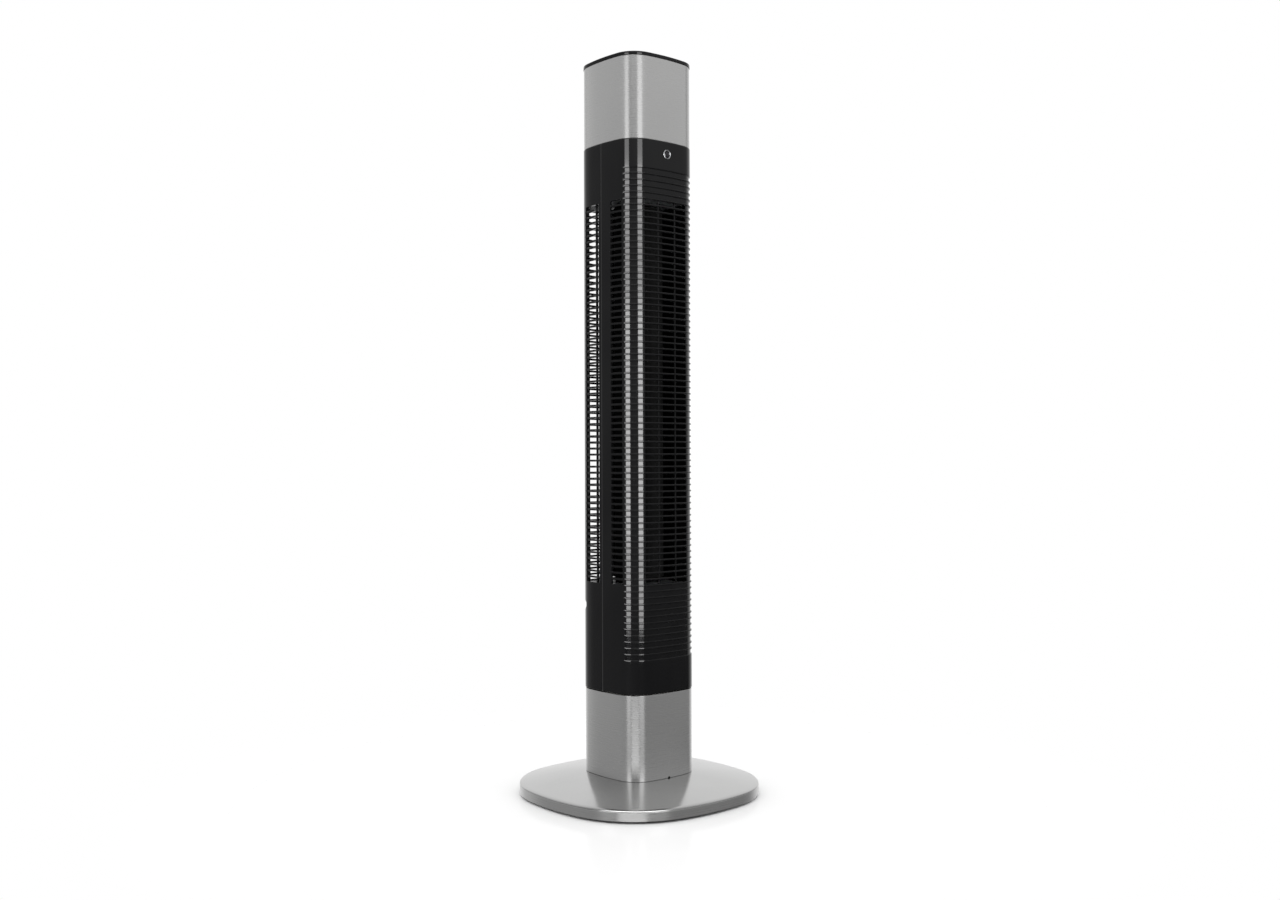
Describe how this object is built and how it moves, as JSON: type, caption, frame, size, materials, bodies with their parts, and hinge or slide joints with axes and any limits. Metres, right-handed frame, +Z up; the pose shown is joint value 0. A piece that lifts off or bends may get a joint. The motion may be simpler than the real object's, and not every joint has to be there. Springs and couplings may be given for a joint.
{
  "type": "tower fan",
  "caption": "Slim free-standing tower fan: a louvred black body on a brushed-steel column and base plate, with a swinging upper part and push buttons on its head.",
  "frame": {"origin": "on the floor, under the middle of the base plate and on the axis of the column", "axes": "+Z up along the column, -Y towards the front where the air comes out, +X to the right seen from above with the front towards you"},
  "size_m": [0.3276, 0.3276, 1.07],
  "materials": {
    "brushed_steel": "fine level brushing, satin",
    "gloss_black": "glossy moulded black",
    "matte_black": "fine-grained moulded black",
    "black_rubber": "matt rubber",
    "ballast_iron": "rough cast",
    "zinc_steel": "zinc plated",
    "white_acetal": "smooth natural acetal",
    "grey_plastic": "moulded grey",
    "board_green": "solder-masked board",
    "bush_bronze": "sintered bronze",
    "dark_lens": "polished dark lens"
  },
  "bodies": {
    "base": {"base_cover": "brushed_steel", "base_weight": "ballast_iron", "base_tray": "matte_black", "foot_1": "black_rubber", "foot_2": "black_rubber", "foot_3": "black_rubber", "foot_4": "black_rubber", "core_screw_1": "zinc_steel", "core_screw_2": "zinc_steel", "core_screw_3": "zinc_steel", "core_screw_4": "zinc_steel", "pedestal_core": "matte_black", "pedestal_sleeve": "brushed_steel", "cord_gland": "black_rubber", "bearing_ring": "white_acetal", "swing_sector": "white_acetal"},
    "tower": {"bottom_plate": "matte_black", "retaining_collar": "zinc_steel", "swing_motor": "zinc_steel", "swing_motor_screw_1": "zinc_steel", "swing_motor_screw_2": "zinc_steel", "front_grille": "gloss_black", "rear_housing": "gloss_black", "housing_screw_1": "zinc_steel", "housing_screw_2": "zinc_steel", "receiver_window": "dark_lens", "air_scroll": "matte_black", "air_tongue": "matte_black", "motor_bracket": "grey_plastic", "fan_motor": "zinc_steel", "upper_bracket": "grey_plastic", "upper_bush": "bush_bronze", "power_board": "board_green", "run_capacitor": "white_acetal", "control_board": "board_green", "wiring_harness": "black_rubber", "top_frame": "matte_black", "top_band": "brushed_steel", "top_cap": "gloss_black", "display_window": "dark_lens"},
    "impeller": {"impeller": "matte_black", "drive_shaft": "zinc_steel"},
    "swing_pinion": {"swing_pinion": "white_acetal"},
    "power_button": {"power_button": "matte_black"},
    "speed_button": {"speed_button": "matte_black"},
    "mode_button": {"mode_button": "matte_black"},
    "timer_button": {"timer_button": "matte_black"},
    "swing_button": {"swing_button": "matte_black"}
  },
  "joints": [
    {"name": "tower_swing", "type": "hinge", "parent": "base", "child": "tower", "pos_m": [0, 0, 0], "axis": [0, 0, 1], "range_deg": [-40, 40]},
    {"name": "impeller_spin", "type": "hinge", "parent": "tower", "child": "impeller", "pos_m": [0, 0, 0], "axis": [0, 0, 1], "continuous": true},
    {"name": "pinion_spin", "type": "hinge", "parent": "tower", "child": "swing_pinion", "pos_m": [0, 0.03, 0], "axis": [0, 0, 1], "range_deg": [-165, 165]},
    {"name": "power_press", "type": "slide", "parent": "tower", "child": "power_button", "axis": [0, 0, -1], "range_m": [0, 0.001], "stiffness_N_per_m": 300},
    {"name": "speed_press", "type": "slide", "parent": "tower", "child": "speed_button", "axis": [0, 0, -1], "range_m": [0, 0.001], "stiffness_N_per_m": 300},
    {"name": "mode_press", "type": "slide", "parent": "tower", "child": "mode_button", "axis": [0, 0, -1], "range_m": [0, 0.001], "stiffness_N_per_m": 300},
    {"name": "timer_press", "type": "slide", "parent": "tower", "child": "timer_button", "axis": [0, 0, -1], "range_m": [0, 0.001], "stiffness_N_per_m": 300},
    {"name": "swing_press", "type": "slide", "parent": "tower", "child": "swing_button", "axis": [0, 0, -1], "range_m": [0, 0.001], "stiffness_N_per_m": 300}
  ],
  "couplings": [
    {"joint": "pinion_spin", "follows": "tower_swing", "ratio": 4}
  ]
}
